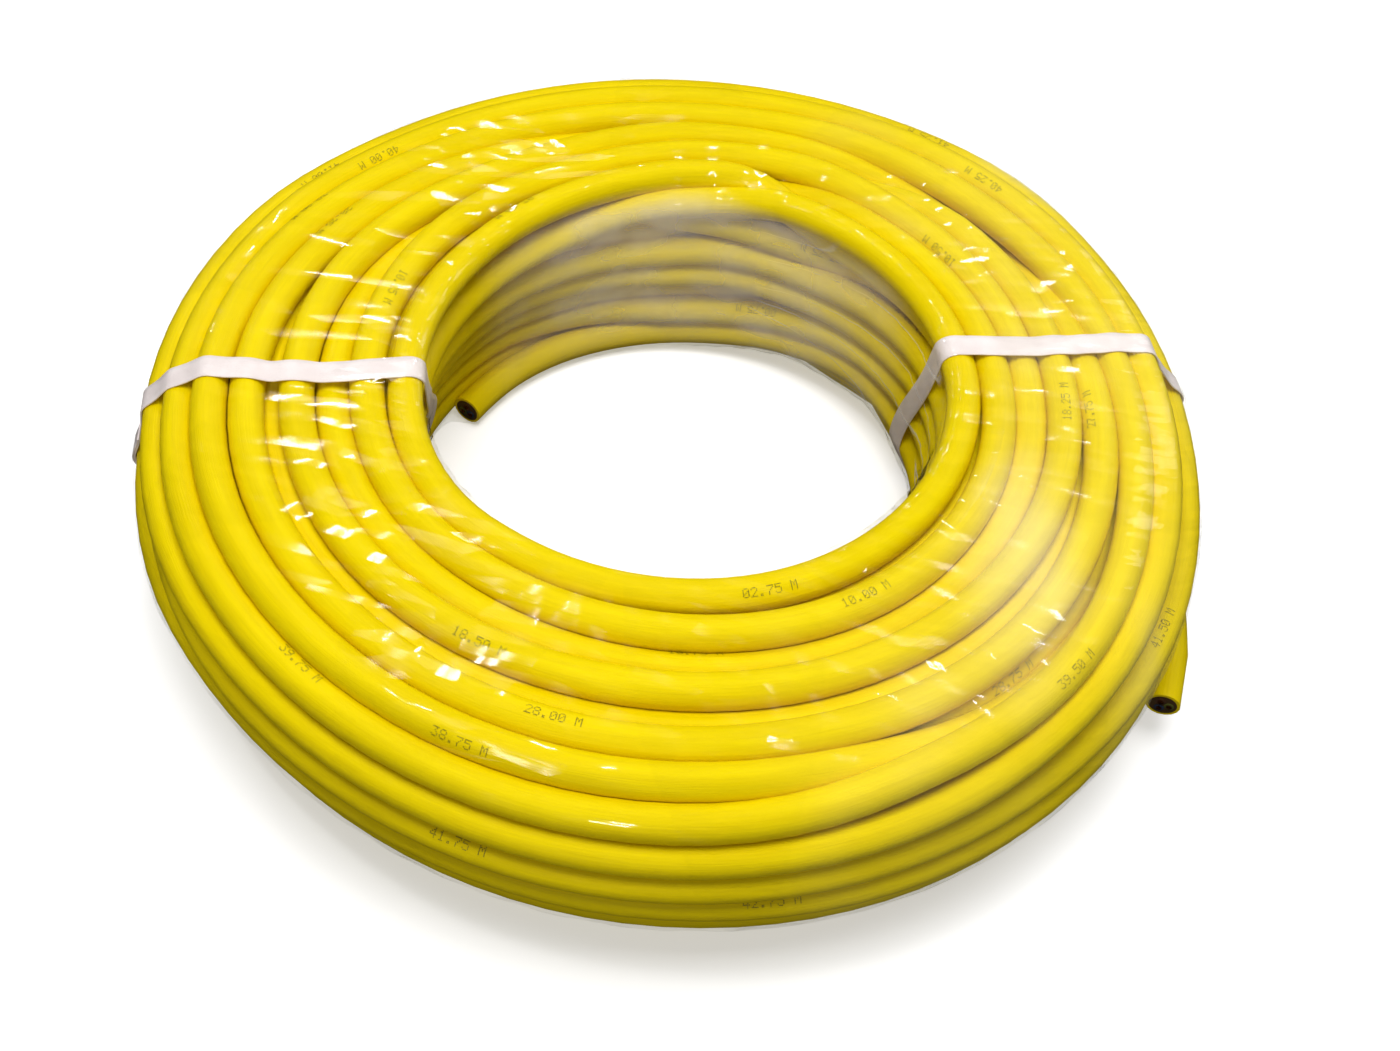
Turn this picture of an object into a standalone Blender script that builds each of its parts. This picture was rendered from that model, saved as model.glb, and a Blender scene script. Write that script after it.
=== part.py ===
"""Coil of sheathed electrical cable, tied with two flat straps and wound in clear film."""
import bmesh
import bpy
from math import atan2, cos, degrees, pi, radians, sin, tan, tau

# Driving dimensions in metres

cable_diameter = 0.0116
bore_diameter = 0.1752
coil_diameter = 0.3620
crown_diameter = 0.3116
coil_height = 0.0870
tall_columns = 5
tall_rows = 6
outer_rows = 4

strap_width = 0.009
strap_thickness = 0.0006
strap_angle = radians(191.25)
film_thickness = 0.0004
clearance = 0.0003

# The cable's free end: its straight run, how far it sinks, and the film's window round it

tail_length = 0.0916
tail_drop = 0.0058
window_margin = 0.0030

segments = 48
tail_sides = 16

# Sizes that follow from the ones above

cable_radius = cable_diameter / 2
bore_radius = bore_diameter / 2
coil_radius = coil_diameter / 2
last_column = 2 * tall_columns - 2
column_pitch = (crown_diameter / 2 - bore_radius - cable_radius) / last_column
outer_radius = coil_radius - cable_radius
side_row = cable_diameter * (outer_rows - 1) / 2
row_pitch = (coil_height - cable_diameter) / (tall_rows - 1)
top_row = coil_height / 2 - cable_radius
strap_gap = clearance
film_gap = strap_gap + strap_thickness + clearance
shoulder_slope = degrees(atan2(outer_radius - crown_diameter / 2, top_row - side_row))
coil_middle = coil_height / 2 + film_gap + film_thickness
facet_step = tau / segments
facet_shrink = cos(facet_step / 2)


def clear_scene():
    for thing in list(bpy.data.objects):
        bpy.data.objects.remove(thing, do_unlink=True)


def make_material(name, colour, roughness, alpha=1.0):
    material = bpy.data.materials.new(name)
    material.use_nodes = True
    shader = material.node_tree.nodes["Principled BSDF"]
    shader.inputs["Base Color"].default_value = (*colour, 1.0)
    shader.inputs["Roughness"].default_value = roughness
    shader.inputs["Metallic"].default_value = 0.0
    shader.inputs["Alpha"].default_value = alpha
    return material


def column_radius(column):
    return bore_radius + cable_radius + column * column_pitch


def turn_arc(radius, height, start, end, steps):
    """Points on the visible side of one cable turn, angles in degrees."""
    points = []
    for step in range(steps + 1):
        angle = radians(start + (end - start) * step / steps)
        points.append((radius + cable_radius * cos(angle), height + cable_radius * sin(angle)))
    return points


def coil_profile():
    """Outline of the wound turns: outer side, top, bore, then the same mirrored below."""
    upper = []
    for row in range(outer_rows // 2):
        end = shoulder_slope + 60 if row == outer_rows // 2 - 1 else 62
        upper += turn_arc(outer_radius, cable_diameter * (row + 0.5), -62, end, 3)
    shoulder_radius = (outer_radius + column_radius(last_column)) / 2
    shoulder_row = (top_row + side_row) / 2
    upper += turn_arc(shoulder_radius, shoulder_row, shoulder_slope - 60, shoulder_slope + 60, 3)
    for column in range(last_column, -1, -1):
        if column % 2:
            upper += turn_arc(column_radius(column), top_row - row_pitch / 2, 65, 115, 1)
        elif column == last_column:
            upper += turn_arc(column_radius(column), top_row, shoulder_slope - 60, 155, 4)
        elif column == 0:
            upper += turn_arc(column_radius(column), top_row, 25, 245, 5)
        else:
            upper += turn_arc(column_radius(column), top_row, 25, 155, 3)
    groove = column_radius(1) - cable_radius
    for row in range(1, tall_rows // 2):
        height = top_row - row * row_pitch
        upper.append((groove, height + row_pitch / 2))
        upper += turn_arc(column_radius(0), height, 115, 245, 3)
    lower = [(radius, -height) for radius, height in reversed(upper)]
    return upper + [(groove, 0.0)] + lower


def wrap_profile(offset):
    """Outline of a tight wrapping that lies an even distance off the turns."""
    inner = column_radius(0)
    crown = column_radius(last_column)
    slope = shoulder_slope
    corners = (
        (outer_radius, side_row, 0, slope, 1),
        (crown, top_row, slope, 90, 2),
        (inner, top_row, 90, 180, 3),
        (inner, -top_row, 180, 270, 3),
        (crown, -top_row, 270, 360 - slope, 2),
        (outer_radius, -side_row, 360 - slope, 360, 1),
    )
    points = []
    for radius, height, start, end, steps in corners:
        step = radians(end - start) / steps
        reach = (cable_radius + offset) / cos(step / 2)
        for index in range(steps):
            angle = radians(start) + (index + 0.5) * step
            points.append((radius + reach * cos(angle), height + reach * sin(angle)))
    return points


def turned_faces(mesh, profile, inward=False):
    """Turn a closed profile about Z into a ring of quads."""
    rings = []
    for segment in range(segments):
        angle = segment * facet_step
        rings.append([mesh.verts.new((r * cos(angle), r * sin(angle), z + coil_middle))
                      for r, z in profile])
    count = len(profile)
    for segment in range(segments):
        here = rings[segment]
        there = rings[(segment + 1) % segments]
        for index in range(count):
            after = (index + 1) % count
            face = [here[index], there[index], there[after], here[after]]
            mesh.faces.new(face[::-1] if inward else face)


def add_object(name, mesh, material, smooth_angle=None):
    data = bpy.data.meshes.new(name)
    mesh.to_mesh(data)
    mesh.free()
    if smooth_angle:
        data.shade_smooth()
        data.set_sharp_from_angle(angle=smooth_angle)
    data.materials.append(material)
    thing = bpy.data.objects.new(name, data)
    bpy.context.scene.collection.objects.link(thing)
    return thing


def hide_helper(thing):
    thing.hide_render = True
    thing.display_type = "WIRE"


def tail_line():
    """Root of the free end inside the turns, and its cut end; heights from mid coil."""
    root = (outer_radius - 0.55 * cable_diameter, cable_diameter, 0.15 * cable_diameter - side_row)
    tip = (root[0], root[1] - tail_length, root[2] - tail_drop)
    return root, tip


def make_tail():
    """Straight free end of the cable, rooted inside the wound turns."""
    root, tip = tail_line()
    along = [end - start for start, end in zip(root, tip)]
    length = sum(part * part for part in along) ** 0.5
    along = [part / length for part in along]
    across = (along[1], -along[0], 0.0)
    size = (across[0] ** 2 + across[1] ** 2) ** 0.5
    across = [part / size for part in across]
    up = (
        across[1] * along[2] - across[2] * along[1],
        across[2] * along[0] - across[0] * along[2],
        across[0] * along[1] - across[1] * along[0],
    )
    mesh = bmesh.new()
    ends = []
    for centre in (root, tip):
        ring = []
        for side in range(tail_sides):
            angle = tau * side / tail_sides
            point = [centre[axis] + cable_radius * (cos(angle) * across[axis] + sin(angle) * up[axis])
                     for axis in range(3)]
            point[2] += coil_middle
            ring.append(mesh.verts.new(point))
        ends.append(ring)
    for side in range(tail_sides):
        after = (side + 1) % tail_sides
        mesh.faces.new((ends[0][side], ends[1][side], ends[1][after], ends[0][after]))
    mesh.faces.new(ends[0])
    mesh.faces.new(ends[1][::-1])
    bmesh.ops.recalc_face_normals(mesh, faces=mesh.faces)
    return mesh


def make_coil():
    mesh = bmesh.new()
    turned_faces(mesh, coil_profile())
    coil = add_object("cable_coil", mesh, cable_yellow, radians(50))
    tail = add_object("tail_helper", make_tail(), cable_yellow)
    hide_helper(tail)
    union = coil.modifiers.new("free end", "BOOLEAN")
    union.operation = "UNION"
    union.solver = "EXACT"
    union.object = tail
    return coil


def make_strap(name, angle):
    """Closed flat band round the turns, in the plane through the coil's axis."""
    mesh = bmesh.new()
    outward = (cos(angle), sin(angle))
    sideways = (-sin(angle), cos(angle))
    loops = []
    for offset in (strap_gap, strap_gap + strap_thickness):
        for side in (-strap_width / 2, strap_width / 2):
            loops.append([
                mesh.verts.new((
                    r * facet_shrink * outward[0] + side * sideways[0],
                    r * facet_shrink * outward[1] + side * sideways[1],
                    z + coil_middle,
                ))
                for r, z in wrap_profile(offset)
            ])
    inner_near, inner_far, outer_near, outer_far = loops
    count = len(inner_near)
    for first, second in ((inner_near, inner_far), (inner_far, outer_far),
                          (outer_far, outer_near), (outer_near, inner_near)):
        for index in range(count):
            after = (index + 1) % count
            mesh.faces.new((first[index], second[index], second[after], first[after]))
    bmesh.ops.recalc_face_normals(mesh, faces=mesh.faces)
    return add_object(name, mesh, strap_white)


def make_film():
    """Thin skin of film round the whole section, open at a window where the free end leaves."""
    mesh = bmesh.new()
    turned_faces(mesh, wrap_profile(film_gap + film_thickness))
    turned_faces(mesh, wrap_profile(film_gap), inward=True)
    film = add_object("film_wrap", mesh, film_clear)

    root, tip = tail_line()
    reach = cable_radius + window_margin
    slope = radians(shoulder_slope)
    depth = cable_radius * sin(slope) - tip[2] - side_row
    shoulder = outer_radius - depth * tan(slope) + (cable_radius + film_gap) / cos(slope)
    crossing = (shoulder ** 2 - (tip[0] + cable_radius * cos(slope)) ** 2) ** 0.5
    near = 2 * window_margin - crossing
    far = tip[1] - window_margin
    low = tip[2] - reach
    high = root[2] + reach
    wall = film_gap + film_thickness + window_margin
    inside = ((coil_radius - cable_diameter) ** 2 - far ** 2) ** 0.5 - wall
    window = bmesh.new()
    bmesh.ops.create_cube(window, size=1.0)
    for vert in window.verts:
        vert.co.x = coil_radius + wall if vert.co.x > 0 else inside
        vert.co.y = near if vert.co.y > 0 else far
        vert.co.z = coil_middle + (high if vert.co.z > 0 else low)
    cutter = add_object("window_helper", window, film_clear)
    hide_helper(cutter)
    cut = film.modifiers.new("window", "BOOLEAN")
    cut.operation = "DIFFERENCE"
    cut.solver = "EXACT"
    cut.object = cutter
    return film


clear_scene()
cable_yellow = make_material("cable_yellow", (0.86, 0.68, 0.01), 0.42)
strap_white = make_material("strap_white", (0.80, 0.74, 0.72), 0.55)
film_clear = make_material("film_clear", (0.92, 0.92, 0.86), 0.12, 0.25)

make_coil()
make_strap("strap_left", strap_angle)
make_strap("strap_right", strap_angle - pi)
make_film()
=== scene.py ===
from math import cos, pi, radians, sin, tau

import bmesh
import bpy
import numpy as np
from mathutils import Matrix, Vector


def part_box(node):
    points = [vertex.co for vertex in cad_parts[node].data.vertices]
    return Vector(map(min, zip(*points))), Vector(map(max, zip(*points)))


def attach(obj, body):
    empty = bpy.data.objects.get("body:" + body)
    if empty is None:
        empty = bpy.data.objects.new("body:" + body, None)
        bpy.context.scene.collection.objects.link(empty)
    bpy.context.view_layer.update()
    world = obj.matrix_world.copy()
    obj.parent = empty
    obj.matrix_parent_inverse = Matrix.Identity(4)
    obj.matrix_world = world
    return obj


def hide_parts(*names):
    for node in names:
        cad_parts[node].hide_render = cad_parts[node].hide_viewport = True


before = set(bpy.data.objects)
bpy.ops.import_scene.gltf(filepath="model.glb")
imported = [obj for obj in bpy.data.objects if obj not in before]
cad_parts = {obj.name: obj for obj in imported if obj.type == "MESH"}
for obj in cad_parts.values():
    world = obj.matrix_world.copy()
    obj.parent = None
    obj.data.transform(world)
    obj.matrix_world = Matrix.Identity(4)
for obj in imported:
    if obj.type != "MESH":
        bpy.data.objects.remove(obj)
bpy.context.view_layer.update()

coilLow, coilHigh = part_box("cable_coil")
coilMiddle = (coilLow[2] + coilHigh[2]) / 2
print("frame loaded, coil middle at", round(coilMiddle, 4))

# camera, from the photograph's own viewing angle
camera = {
    "distance": 0.5989,      # from the middle of the coil
    "pitch": 49.62,          # degrees above the floor
    "roll": 7.04,
    "focalPixels": 1699.4,
    "centreX": 686.9,
    "centreY": 445.8,
    "imageWidth": 1400,
    "imageHeight": 1051,
    "sensorWidth": 36.0,
}


def makeCamera(c):
    data = bpy.data.cameras.new("photoCamera")
    data.sensor_width = c["sensorWidth"]
    data.lens = c["focalPixels"] / c["imageWidth"] * c["sensorWidth"]
    data.shift_x = (c["imageWidth"] / 2 - c["centreX"]) / c["imageWidth"]
    data.shift_y = (c["centreY"] - c["imageHeight"] / 2) / c["imageWidth"]
    data.clip_start = 0.01
    pitch, roll = radians(c["pitch"]), radians(c["roll"])
    back = Vector((0, -cos(pitch), sin(pitch)))
    side = Vector((1, 0, 0))
    up = back.cross(side)
    right = side * cos(roll) + up * sin(roll)
    top = up * cos(roll) - side * sin(roll)
    place = back * c["distance"] + Vector((0, 0, coilMiddle))
    cam = bpy.data.objects.new("photoCamera", data)
    cam.matrix_world = Matrix((
        (right.x, top.x, back.x, place.x),
        (right.y, top.y, back.y, place.y),
        (right.z, top.z, back.z, place.z),
        (0, 0, 0, 1)))
    bpy.context.scene.collection.objects.link(cam)
    bpy.context.scene.camera = cam


makeCamera(camera)
print("camera placed")


# short ways to build node trees, materials and meshes

class NodeTree:
    def __init__(self, tree):
        self.tree = tree

    def add(self, kind, sockets=None, **settings):
        node = self.tree.nodes.new(kind)
        for key, value in settings.items():
            setattr(node, key, value)
        for key, value in (sockets or {}).items():
            self.put(node, key, value)
        return node

    def put(self, node, key, value):
        socket = node.inputs[key]
        if isinstance(value, bpy.types.NodeSocket):
            self.tree.links.new(value, socket)
        else:
            socket.default_value = value

    def math(self, operation, first, second=0.0):
        return self.add("ShaderNodeMath", {0: first, 1: second}, operation=operation).outputs[0]

    def split(self, vector):
        return self.add("ShaderNodeSeparateXYZ", {"Vector": vector}).outputs

    def join(self, x=0.0, y=0.0, z=0.0):
        return self.add("ShaderNodeCombineXYZ", {"X": x, "Y": y, "Z": z}).outputs[0]


class Shader(NodeTree):
    def __init__(self, name):
        self.material = bpy.data.materials.new(name)
        self.material.use_nodes = True
        super().__init__(self.material.node_tree)
        self.main = self.tree.nodes["Principled BSDF"]
        self.out = self.tree.nodes["Material Output"]

    def noise(self, vector, scale, detail=3.0, roughness=0.5):
        return self.add("ShaderNodeTexNoise", {
            "Vector": vector, "Scale": scale, "Detail": detail, "Roughness": roughness}).outputs["Fac"]

    def ramp(self, value, low, high, to0=0.0, to1=1.0):
        return self.add("ShaderNodeMapRange", {
            "Value": value, "From Min": low, "From Max": high, "To Min": to0, "To Max": to1},
            interpolation_type="SMOOTHSTEP").outputs["Result"]

    def vector(self, operation, first, second=(0, 0, 0)):
        return self.add("ShaderNodeVectorMath", {0: first, 1: second}, operation=operation).outputs[0]

    def mixColour(self, factor, first, second):
        # each a plain colour or a socket
        first, second = (c if isinstance(c, bpy.types.NodeSocket) else (*c, 1.0) for c in (first, second))
        return self.add("ShaderNodeMix", {0: factor, 6: first, 7: second}, data_type="RGBA").outputs[2]

    def mixShader(self, factor, first, second):
        return self.add("ShaderNodeMixShader", {0: factor, 1: first, 2: second}).outputs[0]

    def objectPlace(self):
        return self.add("ShaderNodeTexCoord").outputs["Object"]

    def attribute(self, name):
        return self.add("ShaderNodeAttribute", attribute_name=name).outputs["Vector"]

    def bump(self, height, strength, distance):
        return self.add("ShaderNodeBump", {
            "Height": height, "Strength": strength, "Distance": distance}).outputs["Normal"]

    def principled(self, **sockets):
        for key, value in sockets.items():
            self.put(self.main, key.replace("_", " "), value)
        return self.material


class Shape(NodeTree):
    # a geometry node tree: geometry and named inputs in, geometry out
    def __init__(self, name, **inputs):
        group = bpy.data.node_groups.new(name, "GeometryNodeTree")
        super().__init__(group)
        group.interface.new_socket("Geometry", in_out="INPUT", socket_type="NodeSocketGeometry")
        for key, kind in inputs.items():
            group.interface.new_socket(key, in_out="INPUT", socket_type="NodeSocket" + kind)
        group.interface.new_socket("Geometry", in_out="OUTPUT", socket_type="NodeSocketGeometry")
        self.given = group.nodes.new("NodeGroupInput").outputs

    def scatter(self, thing):
        # the thing on every given point, its Z along the facing stored there
        facing = self.add("GeometryNodeInputNamedAttribute", {"Name": "facing"}, data_type="FLOAT_VECTOR")
        turn = self.add("FunctionNodeAlignRotationToVector", {"Vector": facing.outputs[0]}, axis="Z")
        return self.add("GeometryNodeInstanceOnPoints", {
            "Points": self.given["Geometry"], "Instance": thing, "Rotation": turn.outputs[0]}).outputs[0]

    def finish(self, geometry, material):
        whole = self.add("GeometryNodeRealizeInstances", {"Geometry": geometry}).outputs[0]
        coated = self.add("GeometryNodeSetMaterial", {"Geometry": whole, "Material": material})
        self.add("NodeGroupOutput", {"Geometry": coated.outputs[0]})
        return self.tree


def applyShape(piece, group, **values):
    live = piece.modifiers.new(group.name, "NODES")
    live.node_group = group
    for item in group.interface.items_tree:
        if item.item_type == "SOCKET" and item.in_out == "INPUT" and item.name in values:
            live[item.identifier] = values[item.name]
    seen = piece.evaluated_get(bpy.context.evaluated_depsgraph_get())
    mesh = bpy.data.meshes.new_from_object(seen)
    piece.modifiers.remove(live)
    piece.data = mesh


def addMesh(name, points, faces=(), edges=(), smooth=True, **layers):
    # layers are vectors, one for every point
    mesh = bpy.data.meshes.new(name)
    mesh.from_pydata(np.asarray(points, float).tolist(), [tuple(e) for e in edges],
                     [tuple(int(i) for i in f) for f in faces])
    for key, values in layers.items():
        mesh.attributes.new(key, "FLOAT_VECTOR", "POINT").data.foreach_set(
            "vector", np.asarray(values, np.float32).ravel())
    if smooth and len(faces):
        mesh.shade_smooth()
    piece = bpy.data.objects.new(name, mesh)
    bpy.context.scene.collection.objects.link(piece)
    return piece


def faceOutwards(piece):
    work = bmesh.new()
    work.from_mesh(piece.data)
    bmesh.ops.recalc_face_normals(work, faces=work.faces)
    work.to_mesh(piece.data)
    work.free()


def rideOn(piece, node=None):
    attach(piece, "root")
    if node:
        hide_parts(node)
    return piece


# the cable: one length wound column by column, from the bore outwards

cable = {
    "diameter": 0.0116,
    "height": 0.0870,
    "tallRows": 6,                # turns in every second column, one fewer between
    "columns": 9,
    "outerTurns": 6,              # looser turns outside the last column
    "outerColumns": (0.45, 1.0),  # how far outside it they lie, in turn
    "outerHeights": (2.1, -0.6),  # of the first, and from each to the next
    "innerEndAngle": 157.0,       # degrees, where the cut end lies in the bore
    "tailAngle": 22.0,            # degrees past +X at which the outer end is cut
    "tailRadius": 14.62,          # diameters from the middle
    "tailHeights": (-1.25, -1.95),
    "spring": 0.15,               # how far the inner end stands off the bore's wall
    "crossing": 110.0,            # degrees over which a turn climbs to the next row
    "crossEnd": 20.0,
    "lateness": 0.02,             # spread of where the climbs start, in turns
    "wander": (0.15, 0.13),       # radial and vertical looseness in diameters
    "waves": 60,                  # that the looseness is made of
    "slack": (0.9, 190.0),        # how far the bore's foot is pushed out, and at what angle most
    "firmness": 2.2,              # how square the outer shoulders are
    "stationsPerTurn": 96,
    "rounds": 420,
    "sides": 16,
    "seed": 11,
    # the coil is not quite round: middles of its turns in diameters, at 0, 45, 90 ... degrees
    "wall": (7.85, 7.95, 8.0, 8.05, 8.25, 8.5, 7.6, 7.6),
    "crest": (13.3, 13.5, 13.3, 13.4, 14.1, 14.0, 13.8, 13.6),
    "topRim": (13.3, 13.1, 12.4, 12.7, 13.9, 14.0, 13.9, 13.6),
    "side": (14.8, 15.3, 15.1, 15.2, 16.2, 15.15, 14.8, 14.85),
    "sideHeight": (0.6, 0.6, 0.6, 0.6, 0.7, 0.8, 0.8, 0.7),
    "foot": (13.4, 13.8, 13.8, 13.8, 13.9, 12.9, 12.8, 12.9),
}


def smoothStep(x):
    x = np.clip(x, 0, 1)
    return x * x * x * (x * (6 * x - 15) + 10)


def around(values, angle):
    # smooth closed curve through evenly spaced values
    v, n = np.array(values), len(values)
    t = (angle / tau % 1) * n
    k = np.floor(t).astype(int) % n
    f = t - np.floor(t)
    a, b, c, d = v[(k - 1) % n], v[k], v[(k + 1) % n], v[(k + 2) % n]
    return b + 0.5 * f * (c - a + f * (2 * a - 5 * b + 4 * c - d + f * (3 * (b - c) + d - a)))


def windCable(c):
    rng = np.random.default_rng(c["seed"])
    perTurn = c["stationsPerTurn"]
    top = c["height"] / c["diameter"] / 2 - 0.5
    rowPitch = 2 * top / (c["tallRows"] - 1)
    last = c["columns"] - 1
    rows = []                 # column and height; outer turns count as past the last column
    for column in range(c["columns"]):
        tall = column % 2 == 0
        for row in range(c["tallRows"] if tall else c["tallRows"] - 1):
            rows.append((column, -top + row * rowPitch if tall else top - (row + 0.5) * rowPitch))
    for turn in range(c["outerTurns"]):
        highest, step = c["outerHeights"]
        rows.append((last + c["outerColumns"][turn % 2], highest + step * turn))
    column, height = np.array(rows).T
    turns = len(rows)
    skipped = 1 - (c["innerEndAngle"] - c["crossEnd"]) / 360
    count = int((turns - skipped + (c["tailAngle"] + c["crossEnd"]) / 360) * perTurn) + 1
    tail = int(round(c["tailAngle"] / 360 * perTurn))
    station = np.arange(count)
    angle = np.radians(c["innerEndAngle"] - 360 * station / perTurn)
    angle[-1] = -tau * round(-angle[-1] / tau) - radians(c["tailAngle"])
    turn = np.floor(station / perTurn + skipped).astype(int)
    share = station / perTurn + skipped - turn
    late = rng.normal(0, c["lateness"], turns + 2)
    climb = smoothStep((share - 1 + c["crossing"] / 360 - late[turn]) / (c["crossing"] / 360))
    here, there = np.minimum(turn, turns - 1), np.minimum(turn + 1, turns - 1)
    column = column[here] * (1 - climb) + column[there] * climb
    height = height[here] * (1 - climb) + height[there] * climb
    wall, crest, rim, side, sideHeight, foot = (
        around(c[key], angle) for key in ("wall", "crest", "topRim", "side", "sideHeight", "foot"))
    base = np.stack([wall + np.minimum(column / last, 1) * (crest - wall)
                     + np.clip(column - last, 0, 1) * (side - crest), height], 1)

    def wander(amount):
        total = np.zeros(count)
        for _ in range(c["waves"]):
            rate, phase = rng.uniform(0.15, 1.7), rng.uniform(0, tau)      # rate in waves per turn
            total += np.sin(tau * rate * station / perTurn + phase)
        return amount * total / np.sqrt(c["waves"] / 2)

    place = base + np.stack([wander(c["wander"][0]), wander(c["wander"][1])], 1)
    hold = np.full(count, 0.02)               # how firmly each station is kept at its target
    # the outer end runs straight on, the inner end springs a little into the bore
    leaving = station >= count - tail - 4
    straight = c["tailRadius"] / np.cos(angle[leaving])
    base[leaving] = np.stack([straight, np.linspace(*c["tailHeights"], leaving.sum())], 1)
    place[leaving] = base[leaving]
    hold[leaving] = 0.25
    spring = c["spring"] * np.exp(-station / 3.5)
    base[:12, 0] -= spring[:12]
    place[:12, 0] = base[:12, 0]
    hold[:8] = 0.2
    target = base + 0.6 * (place - base)
    target[leaving] = base[leaving]
    inner = wall - 0.05 - spring
    far, facing = c["slack"]
    slack = far * np.clip(1.6 * np.cos(angle - radians(facing)), 0, 1) * (station > 40)
    layers = count // perTurn + 1
    for step in range(c["rounds"]):
        done = step / c["rounds"]
        grid = np.full((layers * perTurn, 2), 99.0)
        grid[:count] = place
        grid[count:, 0] += np.arange(layers * perTurn - count) * 9
        grid = grid.reshape(layers, perTurn, 2)
        push = np.zeros_like(grid)
        for apart in range(1, layers):      # turns that meet in the same radial plane
            gap = grid[apart:] - grid[:-apart]
            dist = np.sqrt(gap[..., 0] ** 2 + gap[..., 1] ** 2)
            force = np.where(dist < 1, (1 - dist) * 0.5 / np.maximum(dist, 1e-6), 0)[..., None] * gap
            push[apart:] += force
            push[:-apart] -= force
        place += push.reshape(-1, 2)[:count] * 0.9
        place += (target - place) * (hold * (1 - 0.8 * done))[:, None]
        for _ in range(3):                  # the cable's own stiffness
            place[1:-1] += 0.5 * (0.5 * (place[:-2] + place[2:]) - place[1:-1])
        place[:, 1] = np.clip(place[:, 1], -top, top)
        up = np.clip((place[:, 1] - sideHeight) / (top - sideHeight), 0, 1)
        down = np.clip((sideHeight - place[:, 1]) / (top + sideHeight), 0, 1)
        most = side - (side - rim) * up ** c["firmness"] - (side - foot) * down ** c["firmness"]
        most = np.where(leaving, 99, most)
        place[:, 0] = np.minimum(place[:, 0], place[:, 0] * 0.5 + most * 0.5)
        place[:, 0] = np.minimum(place[:, 0], most + 0.15)
        place[:, 0] = np.maximum(place[:, 0] - 0.002 * (1 - done),
                                 inner + slack * np.clip((1.2 - place[:, 1]) / 3, 0, 1))
    return place, angle, count - tail


windRZ, windAngle, tailStart = windCable(cable)
ringCentres = np.stack([
    windRZ[:, 0] * np.cos(windAngle) * cable["diameter"],
    windRZ[:, 0] * np.sin(windAngle) * cable["diameter"],
    windRZ[:, 1] * cable["diameter"] + coilMiddle], 1)
runLength = np.concatenate([[0], np.cumsum(np.linalg.norm(np.diff(ringCentres, axis=0), axis=1))])
cableLength = float(runLength[-1])
print("cable wound:", len(ringCentres), "stations,", round(cableLength, 2), "m")


def cableFrames(centres):
    along = np.gradient(centres, axis=0)
    along /= np.linalg.norm(along, axis=1)[:, None]
    out = centres * (1, 1, 0)
    out -= (out * along).sum(1)[:, None] * along
    out /= np.linalg.norm(out, axis=1)[:, None]
    return along, out, np.cross(out, along)


alongCable, outCable, upCable = cableFrames(ringCentres)
upCable *= np.sign(upCable[:, 2:])


sheath = {
    "colours": ((0.80, 0.605, 0.0), (0.865, 0.675, 0.0)),
    "lineColour": (0.66, 0.49, 0.0),
    "lineShare": 0.35,
    "lineBump": 0.55,
    "roughness": (0.32, 0.46),
    "specular": 0.12,
}


def sheathMaterial(c):
    s = Shader("yellowSheath")
    x, y, run = s.split(s.attribute("along"))        # round the sheath, and metres along it
    fine = s.join(x, y, s.math("MULTIPLY", run, 2.0))
    broad = s.join(x, y, s.math("MULTIPLY", run, 14.0))
    lines = s.noise(fine, 20.0, 3.0, 0.65)           # drawn lines that run along the sheath
    blotch = s.noise(broad, 1.4, 3.0, 0.6)
    rub = s.noise(s.objectPlace(), 260.0, 1.0, 0.6)
    colour = s.mixColour(s.ramp(blotch, 0.3, 0.7), *c["colours"])
    colour = s.mixColour(s.ramp(lines, 0.35, 0.75, 0.0, c["lineShare"]), colour, c["lineColour"])
    return s.principled(Base_Color=colour, Roughness=s.ramp(rub, 0.3, 0.7, *c["roughness"]),
                        Specular_IOR_Level=c["specular"], Normal=s.bump(lines, c["lineBump"], 0.0003))


def cableShape():
    s = Shape("woundCable", Radius="Float", Sides="Int", Sheath="Material")
    line = s.add("GeometryNodeMeshToCurve", {"Mesh": s.given["Geometry"]}).outputs[0]
    line = s.add("GeometryNodeSetCurveNormal", {"Curve": line}, mode="Z_UP").outputs[0]
    run = s.add("GeometryNodeCaptureAttribute", {"Geometry": line}, domain="POINT")
    run.capture_items.new("FLOAT", "run")
    s.put(run, "run", s.add("GeometryNodeSplineParameter").outputs["Length"])
    ring = s.add("GeometryNodeCurvePrimitiveCircle", {
        "Resolution": s.given["Sides"], "Radius": s.given["Radius"]})
    side = s.add("GeometryNodeCaptureAttribute", {"Geometry": ring.outputs["Curve"]}, domain="POINT")
    side.capture_items.new("VECTOR", "side")
    s.put(side, "side", s.add("GeometryNodeInputPosition").outputs[0])
    tube = s.add("GeometryNodeCurveToMesh", {
        "Curve": run.outputs["Geometry"], "Profile Curve": side.outputs["Geometry"], "Fill Caps": True})
    x, y, _ = s.split(side.outputs["side"])
    x, y = (s.math("DIVIDE", part, s.given["Radius"]) for part in (x, y))
    both = s.join(x, y, run.outputs["run"])
    kept = s.add("GeometryNodeStoreNamedAttribute", {
        "Geometry": tube.outputs[0], "Name": "along", "Value": both},
        data_type="FLOAT_VECTOR", domain="POINT")
    return s.finish(kept.outputs[0], s.given["Sheath"])


count = len(ringCentres)
yellowCable = addMesh("yellow_cable", ringCentres, edges=[(i, i + 1) for i in range(count - 1)])
applyShape(yellowCable, cableShape(), Radius=cable["diameter"] / 2, Sides=cable["sides"],
           Sheath=sheathMaterial(sheath))
faceOutwards(yellowCable)
yellowCable.data.shade_smooth()
yellowCable.data.set_sharp_from_angle(angle=radians(55))
rideOn(yellowCable, "cable_coil")
print("cable made,", len(yellowCable.data.polygons), "faces")


# what the two cut ends show: three insulated cores, their copper strands and the filler

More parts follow.
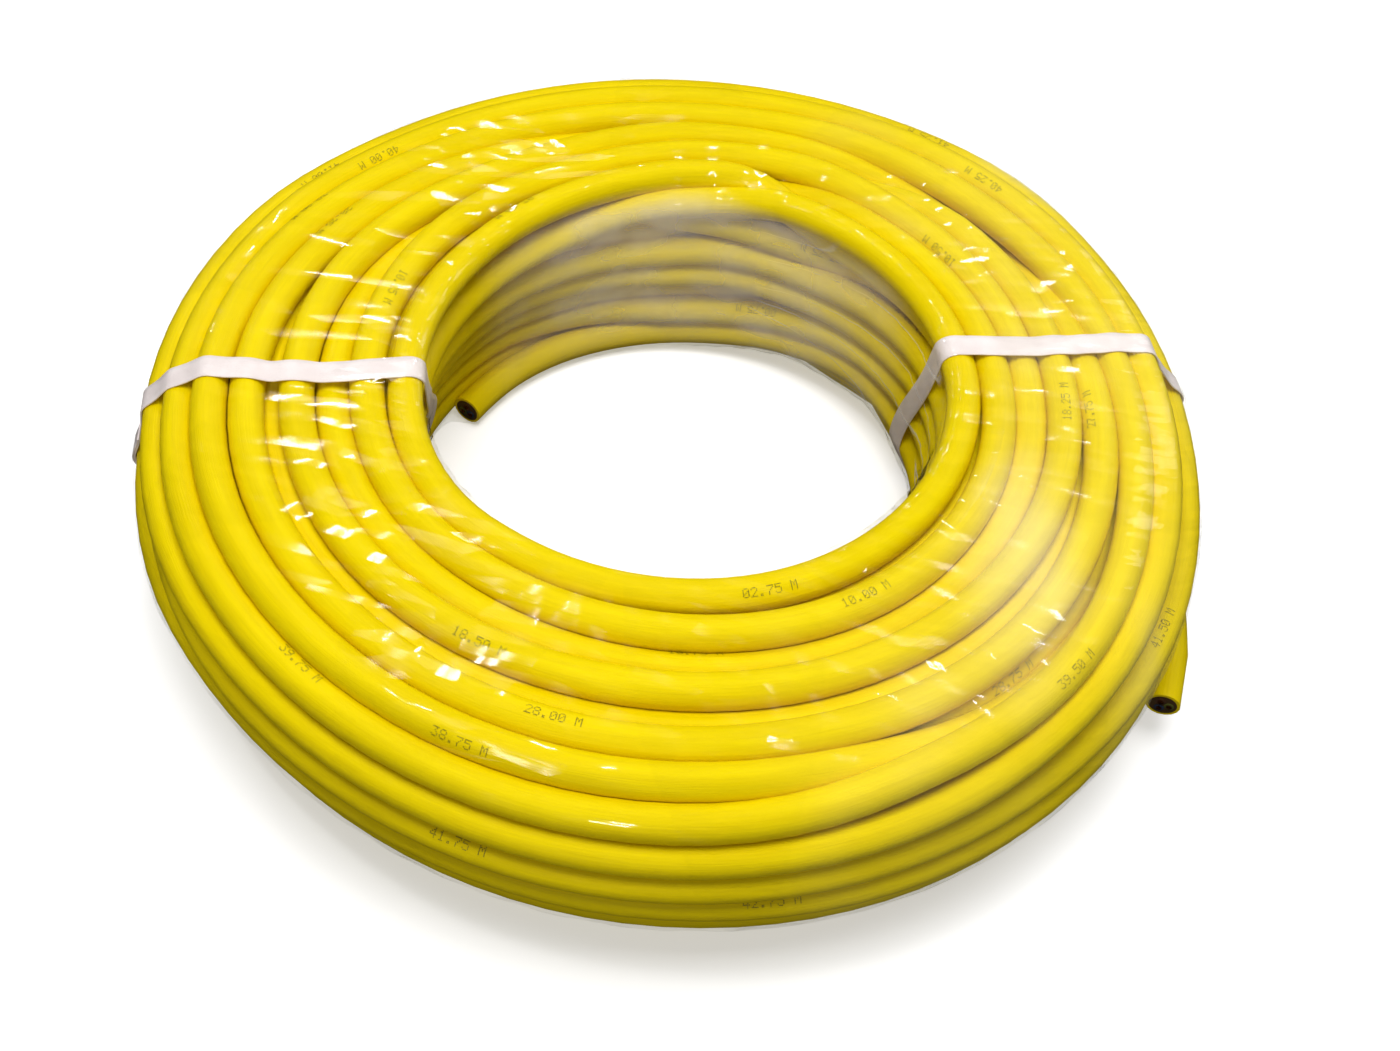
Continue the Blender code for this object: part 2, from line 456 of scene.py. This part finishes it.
cores = {
    "radius": 0.00172,
    "spread": 0.00202,            # from the cable's axis to a core's
    "copper": 0.00105,
    "strands": 37,
    "strandRadius": 0.00016,
    "strandDepth": 0.0008,
    "filler": 0.0047,
    "proud": 0.00030,
    "colours": {"core_brown": (0.090, 0.035, 0.014), "core_blue": (0.030, 0.045, 0.090),
                "core_earth": (0.110, 0.120, 0.020)},
    "fillerColour": (0.085, 0.045, 0.014),
    "copperColour": (0.50, 0.22, 0.11),
    "seed": 3,
}
cutEnds = ((0, -1), (len(ringCentres) - 1, 1))


def makeStubs(name, centres, radius, deep, sides=20):
    # short round stubs standing out of the two cut faces
    points, faces = [], []
    for (end, way), spots in zip(cutEnds, centres):
        for x, y in spots:
            base = len(points)
            middle = ringCentres[end] + x * outCable[end] + y * upCable[end]
            for height in (-0.0006, deep * 0.85, deep):
                size = radius if height < deep else radius * 0.94
                for side in range(sides):
                    turn = tau * side / sides
                    points.append(middle + alongCable[end] * way * height
                                  + size * (cos(turn) * outCable[end] + sin(turn) * upCable[end]))
            for ring in (0, 1):
                for side in range(sides):
                    a, b = base + ring * sides + side, base + ring * sides + (side + 1) % sides
                    faces.append((a, b, b + sides, a + sides))
            faces.append([base + side for side in range(sides)][::-1])
            faces.append([base + 2 * sides + side for side in range(sides)])
    piece = addMesh(name, points, faces)
    faceOutwards(piece)
    piece.data.set_sharp_from_angle(angle=radians(40))
    return piece


def coreMaterial(name, colour, metal=0.0):
    s = Shader(name)
    grain = s.noise(s.objectPlace(), 900.0, 3.0)
    dark = tuple(part * 0.7 for part in colour)
    return s.principled(Base_Color=s.mixColour(grain, dark, colour), Metallic=metal,
                        Roughness=s.ramp(grain, 0.3, 0.7, 0.35, 0.55), Normal=s.bump(grain, 0.2, 0.0001))


def strandShape():
    s = Shape("copperStrands", Radius="Float", Depth="Float", Copper="Material")
    rod = s.add("GeometryNodeMeshCylinder", {
        "Vertices": 7, "Radius": s.given["Radius"], "Depth": s.given["Depth"]})
    return s.finish(s.scatter(rod.outputs["Mesh"]), s.given["Copper"])


def makeCores(c):
    turned = (90, 125)            # degrees to the first core, at the inner and the outer end
    turns = [[radians(start + 120 * k) for k in range(3)] for start in turned]
    middles = [[(c["spread"] * cos(t), c["spread"] * sin(t)) for t in row] for row in turns]
    pieces = []
    for k, (name, colour) in enumerate(c["colours"].items()):
        piece = makeStubs(name, [[row[k]] for row in middles], c["radius"], c["proud"])
        piece.data.materials.append(coreMaterial(name, colour))
        pieces.append(rideOn(piece))
    filler = makeStubs("core_filler", [[(0, 0)]] * 2, c["filler"], c["proud"] * 0.4, 32)
    filler.data.materials.append(coreMaterial("coreFiller", c["fillerColour"]))
    pieces.append(rideOn(filler))
    rng = np.random.default_rng(c["seed"])
    points, facing = [], []
    for (end, way), row in zip(cutEnds, middles):
        for x, y in row:
            for strand in range(c["strands"]):
                far = (c["copper"] - c["strandRadius"]) * ((strand + 0.5) / c["strands"]) ** 0.5
                turn = strand * 2.39996 + rng.uniform(-0.1, 0.1)
                points.append(ringCentres[end] + (x + far * cos(turn)) * outCable[end]
                              + (y + far * sin(turn)) * upCable[end]
                              + alongCable[end] * way * (c["proud"] + rng.uniform(-0.0001, 0.0001)))
                facing.append(alongCable[end] * way)
    strands = addMesh("copper_strands", points, facing=facing)
    applyShape(strands, strandShape(), Radius=c["strandRadius"], Depth=c["strandDepth"],
               Copper=coreMaterial("copperStrand", c["copperColour"], 1.0))
    pieces.append(rideOn(strands))
    return pieces


endPieces = makeCores(cores)
print("cut ends made")


# metre figures printed along the sheath in small dots

marks = {
    "every": 0.25,
    "dotPitch": (0.00041, 0.00044),     # along and across
    "dotRadius": 0.00019,
    "letterPitch": 6,
    "lift": 0.00004,
    "ink": ((0.10, 0.080, 0.008), (0.34, 0.270, 0.008)),
    "glyphs": {                         # seven rows of five dots, as hexadecimal
        "0": "0E 11 13 15 19 11 0E", "1": "04 0C 04 04 04 04 0E", "2": "0E 11 01 02 04 08 1F",
        "3": "1F 02 04 02 01 11 0E", "4": "02 06 0A 12 1F 02 02", "5": "1F 10 1E 01 01 11 0E",
        "6": "06 08 10 1E 11 11 0E", "7": "1F 01 02 04 08 08 08", "8": "0E 11 11 0E 11 11 0E",
        "9": "0E 11 11 0F 01 02 0C", ".": "00 00 00 00 00 0C 0C", "M": "11 1B 15 15 11 11 11",
    },
}


def dotShape():
    s = Shape("printedDots", Radius="Float", Ink="Material")
    dot = s.add("GeometryNodeMeshCircle", {"Vertices": 6, "Radius": s.given["Radius"]}, fill_type="NGON")
    return s.finish(s.scatter(dot.outputs["Mesh"]), s.given["Ink"])


def inkMaterial(m):
    s = Shader("greyInk")
    wear = s.noise(s.objectPlace(), 320.0, 3.0, 0.6)
    return s.principled(Base_Color=s.mixColour(s.ramp(wear, 0.35, 0.7), *m["ink"]), Roughness=0.5)


def between(values, place):
    # part of the way from one station's value to the next one's
    k = min(int(place), len(values) - 2)
    return values[k] * (1 - place + k) + values[k + 1] * (place - k)


def makeMarks(m):
    points, facing = [], []
    radius = cable["diameter"] / 2
    for mark in range(1, int(cableLength / m["every"])):
        start = mark * m["every"]
        words = "%05.2f M" % start
        # where round the sheath it lies
        line = radians(88 + 48 * sin(start * 1.9) + 14 * sin(start * 7.3))
        for place, letter in enumerate(words):
            rows = m["glyphs"].get(letter, "00").split()
            for row, code in enumerate(rows):
                for column in range(5):
                    if not int(code, 16) >> (4 - column) & 1:
                        continue
                    run = start - (place * m["letterPitch"] + column) * m["dotPitch"][0]
                    turn = line + (3 - row) * m["dotPitch"][1] / radius
                    at = np.interp(run, runLength, np.arange(len(runLength)))
                    spoke = cos(turn) * between(outCable, at) + sin(turn) * between(upCable, at)
                    points.append(between(ringCentres, at) + spoke * (radius + m["lift"]))
                    facing.append(spoke)
    piece = addMesh("metre_marks", points, facing=facing)
    applyShape(piece, dotShape(), Radius=m["dotRadius"], Ink=inkMaterial(m))
    return rideOn(piece)


endPieces.append(makeMarks(marks))
print("metre figures made,", len(endPieces[-1].data.polygons), "dots")


# outline of the wound section in every radial plane, for what is wrapped round it

section = {
    "rays": 288,
    "middle": 11.7,               # diameters from the axis
    "bridge": 9,                  # rays over which a tight wrapping bridges a groove
    "span": (21, 5),              # rays and planes over which a looser one does
    "deepest": 0.55,              # groove that counts, in diameters
}


def sectionOutline(c):
    perTurn = cable["stationsPerTurn"]
    wound = np.arange(tailStart)
    rays = tau * np.arange(c["rays"]) / c["rays"]
    spokes = np.stack([np.cos(rays), np.sin(rays)])
    hull = np.zeros((perTurn, c["rays"]))
    skin = np.zeros((perTurn, c["rays"]))
    for plane in range(perTurn):
        spots = windRZ[wound[wound % perTurn == plane]] - (c["middle"], 0)
        lead = spots @ spokes
        support = lead.max(0) + 0.5
        turn = np.cos(rays[None] - rays[:, None])
        hull[plane] = np.where(turn > 0.05, support[None] / np.maximum(turn, 0.05), 99).min(1)
        off = (spots ** 2).sum(1)[:, None] - lead ** 2
        skin[plane] = np.where(off < 0.25, lead + np.sqrt(np.maximum(0.25 - off, 0)), 0).max(0)
    return hull, np.minimum(skin, hull)


def evenOut(line, width, axis):
    kernel = np.hanning(width + 2)[1:-1]
    kernel /= kernel.sum()
    return sum(weight * np.roll(line, k - width // 2, axis=axis) for k, weight in enumerate(kernel))


def tightLine(sag):
    # a wrapping that sinks part of the way into the grooves between the turns
    line = hullGrid - sag * np.minimum(hullGrid - skinGrid, section["deepest"])
    return np.maximum(evenOut(line, section["bridge"], 1), skinGrid)


def looseLine():
    # a wrapping drawn straight from turn to turn, clear of them all
    rays, planes = section["span"]
    line = evenOut(evenOut(hullGrid, rays, 1), planes, 0)
    return np.maximum(line + 0.03, skinGrid + 0.01)


def readGrid(grid, angle, ray):
    # the grid repeats both ways; angle round the coil, ray round the section
    perTurn, rays = grid.shape
    a = (radians(cable["innerEndAngle"]) - np.asarray(angle)) / tau * perTurn
    b = np.asarray(ray) / tau * rays
    a0, b0 = np.floor(a).astype(int), np.floor(b).astype(int)
    fa, fb = a - a0, b - b0
    a0, a1, b0, b1 = a0 % perTurn, (a0 + 1) % perTurn, b0 % rays, (b0 + 1) % rays
    return ((grid[a0, b0] * (1 - fa) + grid[a1, b0] * fa) * (1 - fb)
            + (grid[a0, b1] * (1 - fa) + grid[a1, b1] * fa) * fb)


hullGrid, skinGrid = sectionOutline(section)
print("section outlines measured")


# two flat straps, each a loop whose ends overlap on the outer side

strap = {
    "width": 0.0088,
    "thickness": 0.0005,
    "angles": {"strap_left": 191.25, "strap_right": 11.25},
    # shift all round, more of it outside, and how far it slants across the bore
    "skew": {"strap_left": (-0.0004, -0.0034, -0.034), "strap_right": (0.0044, 0.0006, 0.016)},
    "slantRay": (205.0, 45.0),    # degrees round the section, where it is most and its spread
    "ripples": ((2.0, 0.0005), (5.0, 0.0002)),     # how often it wavers sideways and how far
    "sag": 0.22,                  # on the outside, none in the bore
    "lift": 0.0002,
    "start": -14.0,               # degrees round the section
    "overlap": 27.0,
    "stations": 300,
    "colours": ((0.80, 0.71, 0.69), (0.90, 0.82, 0.80)),
    "weaveColour": (0.66, 0.55, 0.50),
}


def strapDrift(name, ray):
    # how far the strap lies beside its own plane, ray by ray
    shift, lean, slant = strap["skew"][name]
    most, spread = np.radians(strap["slantRay"])
    return shift + lean * np.cos(ray) + slant * np.exp(-((ray % tau - most) / spread) ** 2)


def makeStrap(name, angle, s):
    d = cable["diameter"]
    angle = radians(angle)
    first, lap = radians(s["start"]), radians(s["overlap"])
    rays = np.linspace(first, first + tau + lap, s["stations"])
    lapped = smoothStep((rays - (first + tau - radians(10))) / radians(10))
    allRays = tau * np.arange(section["rays"]) / section["rays"]
    grid = tightLine(s["sag"] * smoothStep((np.cos(allRays) + 0.7) / 0.4))
    (slow, wide), (fast, small) = s["ripples"]
    drift = strapDrift(name, rays) + wide * np.sin(rays * slow + angle) + small * np.sin(rays * fast)
    bearing = np.full(len(rays), angle)
    for _ in range(3):                  # the drift turns it to where the coil is a little wider or narrower
        line = readGrid(grid, bearing, rays) * d + s["lift"]
        far = section["middle"] * d + np.cos(rays) * line
        bearing = angle + drift / far
    high = coilMiddle + np.sin(rays) * line
    bend = np.stack([np.gradient(high), -np.gradient(far)], 1)
    bend /= np.linalg.norm(bend, axis=1)[:, None]
    centre = np.stack([far * np.cos(bearing), far * np.sin(bearing), high], 1)
    out = np.stack([bend[:, 0] * np.cos(bearing), bend[:, 0] * np.sin(bearing), bend[:, 1]], 1)
    along = np.gradient(centre, axis=0)
    along /= np.linalg.norm(along, axis=1)[:, None]
    out -= (out * along).sum(1)[:, None] * along
    out /= np.linalg.norm(out, axis=1)[:, None]
    across = np.cross(out, along)
    centre = centre + out * (lapped * (s["thickness"] + 0.00008))[:, None]
    half, thick = s["width"] / 2, s["thickness"]
    profile = [(-1, 0.2), (-0.98, 0), (0.98, 0), (1, 0.2), (1, 0.8), (0.98, 1),
               (0.5, 1), (0, 1), (-0.5, 1), (-0.98, 1), (-1, 0.8)]
    run = np.concatenate([[0], np.cumsum(np.linalg.norm(np.diff(centre, axis=0), axis=1))])
    points, faces, places = [], [], []
    for index in range(len(rays)):
        for side, deep in profile:
            points.append(centre[index] + out[index] * deep * thick + across[index] * side * half)
            places.append((run[index], side, deep))
    count = len(profile)
    for index in range(len(rays) - 1):
        for step in range(count):
            after = (step + 1) % count
            faces.append((index * count + step, index * count + after,
                          (index + 1) * count + after, (index + 1) * count + step))
    faces.append([step for step in range(count)][::-1])
    faces.append([(len(rays) - 1) * count + step for step in range(count)])
    piece = addMesh(name + "_band", points, faces, along=places)
    faceOutwards(piece)
    piece.data.set_sharp_from_angle(angle=radians(50))
    return piece


def strapMaterial(c):
    s = Shader("strapPlastic")
    run, side, _ = s.split(s.attribute("along"))
    weave = s.join(s.math("MULTIPLY", run, 1100.0), s.math("MULTIPLY", side, 7.0))
    knit = s.add("ShaderNodeTexVoronoi", {"Vector": weave, "Scale": 1.0}).outputs["Distance"]
    cloud = s.noise(s.objectPlace(), 90.0, 3.0)
    colour = s.mixColour(s.ramp(cloud, 0.3, 0.7), *c["colours"])
    colour = s.mixColour(s.ramp(knit, 0.0, 0.6, 0.12, 0.0), colour, c["weaveColour"])
    return s.principled(Base_Color=colour, Roughness=s.ramp(cloud, 0.3, 0.7, 0.40, 0.55),
                        Normal=s.bump(knit, 0.30, 0.0002))


whitePlastic = strapMaterial(strap)
for name, angle in strap["angles"].items():
    band = makeStrap(name, angle, strap)
    band.data.materials.append(whitePlastic)
    rideOn(band, name)
print("straps made")


# clear film, one long band wound through the bore and round the section

film = {
    "flatWidth": 0.125,
    "wraps": 10.35,
    "startAngle": 318.0,
    "outsideHalf": 22.5,      # degrees that half the band covers on the outside
    "boreHalf": 36.0,
    "lift": 0.00045,
    "standOff": 0.0006,       # more in the bore, where the film isn't pressed on the turns
    "layer": 0.00010,
    "overStrap": 0.0003,
    "askew": 5.0,             # degrees
    "fold": 0.00020,
    "foldWaves": 30,
    "edgeWaves": 6,
    "alongSteps": 120,        # per wrap
    "acrossSteps": 72,
    "lowest": 0.0003,
    "window": 0.66,           # diameters that stay open round the cable's leaving end
    "seed": 5,
}


def evenRays(count):
    # rays closer together where the section turns a corner
    rays = tau * np.arange(721) / 720
    hull = readGrid(hullGrid, 0.0, rays)
    x, y = hull * np.cos(rays), hull * np.sin(rays)
    heading = np.unwrap(np.arctan2(np.gradient(y), np.gradient(x)))
    weight = np.hypot(np.gradient(x), np.gradient(y)) + 1.4 * np.abs(np.gradient(heading))
    total = np.concatenate([[0], np.cumsum(weight[:-1])])
    return np.interp(np.linspace(0, total[-1], count + 1)[:-1], total, rays)


def makeFilm(f):
    rng = np.random.default_rng(f["seed"])
    d = cable["diameter"]
    perWrap = f["alongSteps"]
    count = int(f["wraps"] * perWrap) + 1
    across = np.linspace(-1, 1, f["acrossSteps"])
    step = np.arange(count)
    share = step / perWrap                                    # wraps so far
    rays = evenRays(perWrap)[::-1]
    ray = (rays[(step + perWrap // 3) % perWrap])[:, None] + 0 * across[None]
    middle = radians(f["startAngle"]) + tau * share / (f["wraps"] - 0.35)
    hull = readGrid(hullGrid, middle, ray[:, 0])
    radius = section["middle"] + hull * np.cos(ray[:, 0])
    out = np.clip((radius - 7.5) / 7.8, 0, 1)
    half = np.radians(f["boreHalf"] + (f["outsideHalf"] - f["boreHalf"]) * out)
    edge = sum(rng.uniform(0.01, 0.03) * np.sin(share * rng.uniform(2, 14) + rng.uniform(0, tau))
               for _ in range(f["edgeWaves"]))
    slant = radians(f["askew"]) * np.sin(tau * share + 0.7)
    angle = (middle + slant)[:, None] + half[:, None] * across * (1 + edge[:, None])
    line = readGrid(looseLine(), angle, ray)
    radius = (section["middle"] + line * np.cos(ray)) * d
    fold = np.zeros_like(line)                                # folds that run from the bore outwards
    for _ in range(f["foldWaves"]):
        rate, drift = rng.uniform(25, 70), rng.uniform(-3.5, 3.5)
        patch = np.cos(angle * rng.integers(1, 6) + ray * rng.integers(1, 4) + rng.uniform(0, tau))
        fold += np.clip(patch, 0, 1) ** 3 * np.sin(angle * rate + drift * np.cos(ray) + rng.uniform(0, tau))
    fold = np.tanh(fold * 0.5)
    over = np.zeros_like(line)                                # the film rises over the straps
    for name, place in strap["angles"].items():
        away = np.abs(((angle - radians(place) + pi) % tau - pi) * radius - strapDrift(name, ray))
        over += (strap["thickness"] + f["overStrap"]) * smoothStep(1.7 - away / (strap["width"] * 0.58))
    top = line * d + f["lift"] + f["layer"] * (1 - across)[None] + 0.0001 * share[:, None] / f["wraps"]
    top = top + over + f["fold"] * fold + f["standOff"] * smoothStep((-np.cos(ray) - 0.5) / 0.3)
    far = section["middle"] * d + top * np.cos(ray)
    points = np.stack([far * np.cos(angle), far * np.sin(angle), coilMiddle + top * np.sin(ray)], -1)
    points[..., 2] = np.maximum(points[..., 2], f["lowest"])
    n = len(across)
    i, j = np.meshgrid(np.arange(count - 1), np.arange(n - 1), indexing="ij")
    corner = i * n + j
    faces = np.stack([corner, corner + 1, corner + n + 1, corner + n], -1).reshape(-1, 4)
    flat = points.reshape(-1, 3)
    tail = ringCentres[tailStart - 2:]                        # open where the cable's end leaves
    away = np.linalg.norm(flat[faces].mean(1)[:, None] - tail[None], axis=2).min(1)
    faces = faces[away > f["window"] * d]
    used = np.unique(faces)
    renumber = np.zeros(len(flat), int)
    renumber[used] = np.arange(len(used))
    side = np.tile(across, count)
    places = np.stack([np.repeat(share, n), side, 0 * side], 1)
    piece = addMesh("clear_film", flat[used], renumber[faces], along=places[used])
    first, second, third, fourth = np.moveaxis(flat[faces], 1, 0)
    area = np.linalg.norm(np.cross(third - first, fourth - second), axis=1).sum() / 2
    return piece, float(area)


# flat facets that the film is crumpled into, each tilted its own way
facet = {
    "length": 0.022,          # along X
    "width": 0.0030,
    "warp": 2.6,              # facets that the pattern wanders by
    "tilt": (0.14, 0.34, 0.24),      # spread of slopes along X, Y and Z
    "mirror": (0.030, 0.012),        # share reflected face on, clearest and dullest facet
    "edgeMirror": 0.08,
    "roughness": (0.07, 0.26),
}

# where the film is painted milky: at the back of the bore, partly its own haze and partly a painted pale
# reflection of the bright surroundings; thin white lines at its right; and a painted pale-yellow sheen on
# the right
hazeAndSheen = {
    # the bore's haze, partly the film's own and partly a painted pale reflection of the bright surroundings
    "boreRadius": (0.104, 0.092),    # metres from the axis, none and all of it
    "boreTop": (0.086, 0.076),
    "back": (0.030, 0.076),
    "backFoot": (0.002, 0.024),
    "backShare": (0.20, 0.42),
    "threadHalf": 0.020,
    "threadShare": 0.5,
    # the painted pale-yellow sheen on the right: how much and, two lines on, its colour
    "patchShare": (0.04, 0.25),
    "boreColour": (0.93, 0.92, 0.98),
    "threadColour": (0.95, 0.93, 0.90),
    "patchColour": (0.97, 0.95, 0.70),
}


def filmPane(s, x, y, z, side):
    span = s.math("ADD", s.math("ADD", y, z), s.math("MULTIPLY", side, film["flatWidth"] * 0.1))
    warp = s.math("MULTIPLY", s.noise(s.join(x, y, z), 22.0, 0.0), facet["warp"])
    cell = s.join(s.math("ADD", s.math("DIVIDE", x, facet["length"]), warp),
                  s.math("ADD", s.math("DIVIDE", span, facet["width"]), warp))
    chance = s.add("ShaderNodeTexVoronoi", {"Vector": cell, "Scale": 1.0, "Randomness": 0.9},
                   voronoi_dimensions="2D").outputs["Color"]
    dull = s.split(chance)[2]
    tilt = s.vector("MULTIPLY", s.vector("SUBTRACT", chance, (0.5, 0.5, 0.5)), facet["tilt"])
    normal = s.vector("ADD", s.add("ShaderNodeNewGeometry").outputs["Normal"], tilt)
    normal = s.vector("NORMALIZE", normal)
    facing = s.add("ShaderNodeLayerWeight", {"Blend": 0.5, "Normal": normal}).outputs["Facing"]
    mirror = s.math("MULTIPLY", s.math("POWER", facing, 5.0), facet["edgeMirror"])
    mirror = s.math("ADD", mirror, s.ramp(dull, 0.2, 0.8, *facet["mirror"]))
    clear = s.add("ShaderNodeBsdfTransparent", {"Color": (1, 1, 0.995, 1)}).outputs[0]
    gloss = s.add("ShaderNodeBsdfGlossy", {
        "Roughness": s.ramp(dull, 0.3, 1.0, *facet["roughness"]), "Normal": normal}).outputs[0]
    return s.mixShader(mirror, clear, gloss)


def filmHazeAndSheen(s, x, y, z, side):
    # how milky, and in what colour: the film's own haze, with a painted reflection in the bore and a
    # painted sheen on the right
    far = s.math("SQRT", s.math("ADD", s.math("MULTIPLY", x, x), s.math("MULTIPLY", y, y)))
    turned = s.math("ARCTAN2", y, x)
    inBore = s.math("MULTIPLY", s.ramp(far, *hazeAndSheen["boreRadius"]), s.ramp(z, *hazeAndSheen["boreTop"]))
    streak = s.noise(s.join(s.math("MULTIPLY", turned, 1.6), s.math("MULTIPLY", z, 34.0)), 2.0, 2.0)
    # painted pale reflection of the bright surroundings on the back of the bore, partly the film's own haze
    back = s.math("MULTIPLY", s.ramp(y, *hazeAndSheen["back"]), s.ramp(z, *hazeAndSheen["backFoot"]))
    back = s.math("MULTIPLY", back, s.ramp(streak, 0.30, 0.70, *hazeAndSheen["backShare"]))
    level = s.join(s.math("MULTIPLY", turned, 0.35), s.math("MULTIPLY", z, 26.0), 3.0)
    thread = s.math("ABSOLUTE", s.math("SUBTRACT", s.noise(level, 2.4, 0.0), 0.5))
    thread = s.ramp(thread, 0.0, hazeAndSheen["threadHalf"], hazeAndSheen["threadShare"], 0.0)
    thread = s.math("MULTIPLY", thread, s.math("MULTIPLY", s.ramp(x, 0.0, 0.03), s.ramp(y, -0.02, 0.0)))
    bore = s.math("MULTIPLY", inBore, s.math("MAXIMUM", back, thread))
    # painted pale-yellow sheen on the right, where the film would catch a broad light
    patch = s.ramp(s.noise(s.join(x, y, z), 17.0, 1.0, 0.6), 0.42, 0.70, *hazeAndSheen["patchShare"])
    patch = s.math("MULTIPLY", patch, s.math("MULTIPLY", s.ramp(x, 0.02, 0.12), s.ramp(far, 0.096, 0.108)))
    # fades at the band's edges
    middle = s.math("POWER", s.math("COSINE", s.math("MULTIPLY", side, pi / 2)), 2.0)
    share = s.math("MULTIPLY", s.math("ADD", bore, patch), middle)
    tint = s.mixColour(s.ramp(far, 0.090, 0.104), hazeAndSheen["boreColour"], hazeAndSheen["patchColour"])
    return share, s.mixColour(thread, tint, hazeAndSheen["threadColour"])


def filmMaterial():
    s = Shader("clearFilm")
    side = s.split(s.attribute("along"))[1]
    x, y, z = s.split(s.objectPlace())
    share, tint = filmHazeAndSheen(s, x, y, z, side)
    # a diffuse coat that paints the haze, the bore's painted reflection and the painted sheen on the right
    milkAndSheen = s.add("ShaderNodeBsdfDiffuse", {"Color": tint}).outputs[0]
    s.tree.links.new(s.mixShader(share, filmPane(s, x, y, z, side), milkAndSheen), s.out.inputs["Surface"])
    return s.material


clearFilm, filmArea = makeFilm(film)
clearFilm.data.materials.append(filmMaterial())
clearFilm.visible_shadow = False         # too thin to shade what it covers
clearFilm.visible_diffuse = False
rideOn(clearFilm, "film_wrap")
print("film made,", len(clearFilm.data.polygons), "faces, area", round(filmArea, 3))


# floor, world and lamps

studio = {
    "floorHalf": 6.0,
    "floor": (0.93, 0.93, 0.94),
    "floorShade": (0.916, 0.916, 0.926),
    "floorGlow": 0.40,
    "world": 0.19,
    # lamps: place, aim, size, power in watts, seen in reflections
    "lamps": {
        "topSoftbox": ((0.02, -0.14, 1.0), (0, 0, 0), (0.6, 0.5), 7.5, False),
        "frontFill": ((-0.7, -1.7, 1.6), (0, 0, 0.05), (1.4, 1.2), 3.5, False),
        "sheen": ((0.93, 0.98, 0.74), (0.1, 0, 0.03), (0.6, 0.5), 3.2, True),
        "glintCrest": ((-0.27, 0.81, 1.23), (0, 0, 0.05), (0.20, 0.05), 1.7, True),
        "glintShoulder": ((-0.33, -0.27, 1.40), (0, 0, 0.05), (0.20, 0.05), 1.7, True),
        "glintFront": ((-0.15, -1.35, 0.60), (0, 0, 0.05), (0.20, 0.05), 1.4, True),
        "glintLeft": ((-0.99, 0.96, 0.64), (0, 0, 0.05), (0.14, 0.05), 1.2, True),
        "glintRight": ((0.36, 0.79, 1.12), (0, 0, 0.05), (0.08, 0.04), 0.5, True),
    },
}


def makeFloor(c):
    half = c["floorHalf"]
    corners = [(-half, -half, 0), (half, -half, 0), (half, half, 0), (-half, half, 0)]
    piece = addMesh("studio_floor", corners, [(0, 1, 2, 3)], smooth=False)
    s = Shader("paleFloor")
    cloud = s.noise(s.objectPlace(), 3.0)
    piece.data.materials.append(s.principled(
        Base_Color=s.mixColour(cloud, c["floor"], c["floorShade"]), Roughness=0.9,
        Emission_Color=(1, 1, 1, 1), Emission_Strength=c["floorGlow"]))
    piece.visible_glossy = False
    piece.visible_diffuse = False        # keeps the underside of the coil a deep yellow


def makeLamp(name, place, aim, size, power, reflected):
    data = bpy.data.lights.new(name, "AREA")
    data.shape = "RECTANGLE"
    data.size, data.size_y = size
    data.energy = power
    lamp = bpy.data.objects.new(name, data)
    lamp.location = place
    lamp.rotation_euler = (Vector(aim) - Vector(place)).to_track_quat("-Z", "Y").to_euler()
    lamp.visible_glossy = reflected
    bpy.context.scene.collection.objects.link(lamp)


def makeStudio(s):
    world = bpy.data.worlds.new("studioWorld")
    world.use_nodes = True
    world.node_tree.nodes["Background"].inputs["Color"].default_value = (1, 1, 1, 1)
    world.node_tree.nodes["Background"].inputs["Strength"].default_value = s["world"]
    world.cycles_visibility.glossy = False
    bpy.context.scene.world = world
    bpy.context.scene.view_settings.view_transform = "Standard"
    for name, settings in s["lamps"].items():
        makeLamp(name, *settings)


makeFloor(studio)
makeStudio(studio)
print("studio set")
